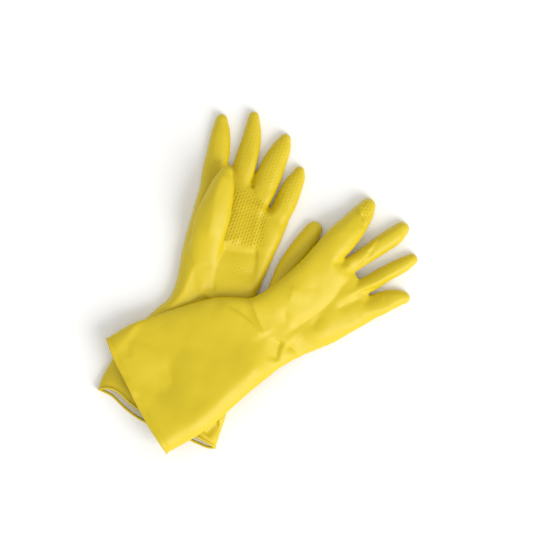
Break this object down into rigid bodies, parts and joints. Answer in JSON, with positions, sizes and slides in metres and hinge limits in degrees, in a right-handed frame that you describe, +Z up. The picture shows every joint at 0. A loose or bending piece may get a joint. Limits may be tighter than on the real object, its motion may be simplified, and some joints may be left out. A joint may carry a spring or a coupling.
{
  "type": "rubber gloves",
  "caption": "Flock-lined rubber household gloves lying crossed at the cuffs, with fingers and thumbs that fold, and an upper glove that bends at the wrist and lifts off the lower one.",
  "frame": {"origin": "centre of the pair's outline, on the surface the pair lies on", "axes": "+Z up from that surface, +Y towards the fingertips of the lower (left) glove, +X towards the fingertips of the upper (right) glove"},
  "size_m": [0.3154, 0.3344, 0.031],
  "materials": {
    "yellow_rubber": "satin dipped latex film, smooth on the back of the hand and with a fine raised grip on the palm and fingers",
    "cotton_flock": "short off-white cotton flock"
  },
  "bodies": {
    "left_glove": {"left_hand_shell": "yellow_rubber", "left_flock_lining": "cotton_flock", "left_cuff_bead": "yellow_rubber"},
    "right_gauntlet": {"right_gauntlet": "yellow_rubber", "right_gauntlet_lining": "cotton_flock", "right_cuff_bead": "yellow_rubber"},
    "right_hand": {"right_hand_shell": "yellow_rubber", "right_hand_lining": "cotton_flock"},
    "left_thumb": {"left_thumb_stall": "yellow_rubber", "left_thumb_lining": "cotton_flock"},
    "left_index": {"left_index_stall": "yellow_rubber", "left_index_lining": "cotton_flock"},
    "left_middle": {"left_middle_stall": "yellow_rubber", "left_middle_lining": "cotton_flock"},
    "left_ring": {"left_ring_stall": "yellow_rubber", "left_ring_lining": "cotton_flock"},
    "left_little": {"left_little_stall": "yellow_rubber", "left_little_lining": "cotton_flock"},
    "right_thumb": {"right_thumb_stall": "yellow_rubber", "right_thumb_lining": "cotton_flock"},
    "right_index": {"right_index_stall": "yellow_rubber", "right_index_lining": "cotton_flock"},
    "right_middle": {"right_middle_stall": "yellow_rubber", "right_middle_lining": "cotton_flock"},
    "right_ring": {"right_ring_stall": "yellow_rubber", "right_ring_lining": "cotton_flock"},
    "right_little": {"right_little_stall": "yellow_rubber", "right_little_lining": "cotton_flock"}
  },
  "joints": [
    {"name": "left_thumb_bend", "type": "hinge", "parent": "left_glove", "child": "left_thumb", "pos_m": [-0.04449, 0.06552, 0.0288], "axis": [0.965, -0.2621, 0], "range_deg": [0, 60], "stiffness_Nm_per_rad": 0.003},
    {"name": "left_index_bend", "type": "hinge", "parent": "left_glove", "child": "left_index", "pos_m": [-0.04146, 0.12342, 0.0102], "axis": [0.9836, -0.1806, 0], "range_deg": [0, 70], "stiffness_Nm_per_rad": 0.003},
    {"name": "left_middle_bend", "type": "hinge", "parent": "left_glove", "child": "left_middle", "pos_m": [-0.0111, 0.12722, 0.0102], "axis": [0.9762, -0.2171, 0], "range_deg": [0, 70], "stiffness_Nm_per_rad": 0.003},
    {"name": "left_ring_bend", "type": "hinge", "parent": "left_glove", "child": "left_ring", "pos_m": [0.01161, 0.11038, 0.0106], "axis": [0.9234, -0.3839, 0], "range_deg": [0, 70], "stiffness_Nm_per_rad": 0.003},
    {"name": "left_little_bend", "type": "hinge", "parent": "left_glove", "child": "left_little", "pos_m": [0.03006, 0.08756, 0.0102], "axis": [0.9212, -0.3891, 0], "range_deg": [0, 70], "stiffness_Nm_per_rad": 0.003},
    {"name": "right_glove_lift", "type": "slide", "parent": "left_glove", "child": "right_gauntlet", "axis": [0, 0, 1], "range_m": [0, 0.12]},
    {"name": "right_wrist_bend", "type": "hinge", "parent": "right_gauntlet", "child": "right_hand", "pos_m": [0.01658, -0.04451, 0.02015], "axis": [0.5225, -0.8362, -0.1668], "range_deg": [0, 50]},
    {"name": "right_thumb_bend", "type": "hinge", "parent": "right_hand", "child": "right_thumb", "pos_m": [0.03722, 0.01072, 0.0056], "axis": [0, 0, -1], "range_deg": [0, 10], "stiffness_Nm_per_rad": 0.003},
    {"name": "right_index_bend", "type": "hinge", "parent": "right_hand", "child": "right_index", "pos_m": [0.08982, 0.05153, 0.0176], "axis": [0.7425, -0.6698, 0], "range_deg": [0, 60], "stiffness_Nm_per_rad": 0.003},
    {"name": "right_middle_bend", "type": "hinge", "parent": "right_hand", "child": "right_middle", "pos_m": [0.11542, 0.03321, 0.0118], "axis": [0.5532, -0.8331, 0], "range_deg": [0, 60], "stiffness_Nm_per_rad": 0.003},
    {"name": "right_ring_bend", "type": "hinge", "parent": "right_hand", "child": "right_ring", "pos_m": [0.12692, 0.00915, 0.0104], "axis": [0.4903, -0.8716, 0], "range_deg": [0, 60], "stiffness_Nm_per_rad": 0.003},
    {"name": "right_little_bend", "type": "hinge", "parent": "right_hand", "child": "right_little", "pos_m": [0.12426, -0.01869, 0.0104], "axis": [0.3451, -0.9386, 0], "range_deg": [0, 60], "stiffness_Nm_per_rad": 0.003}
  ]
}
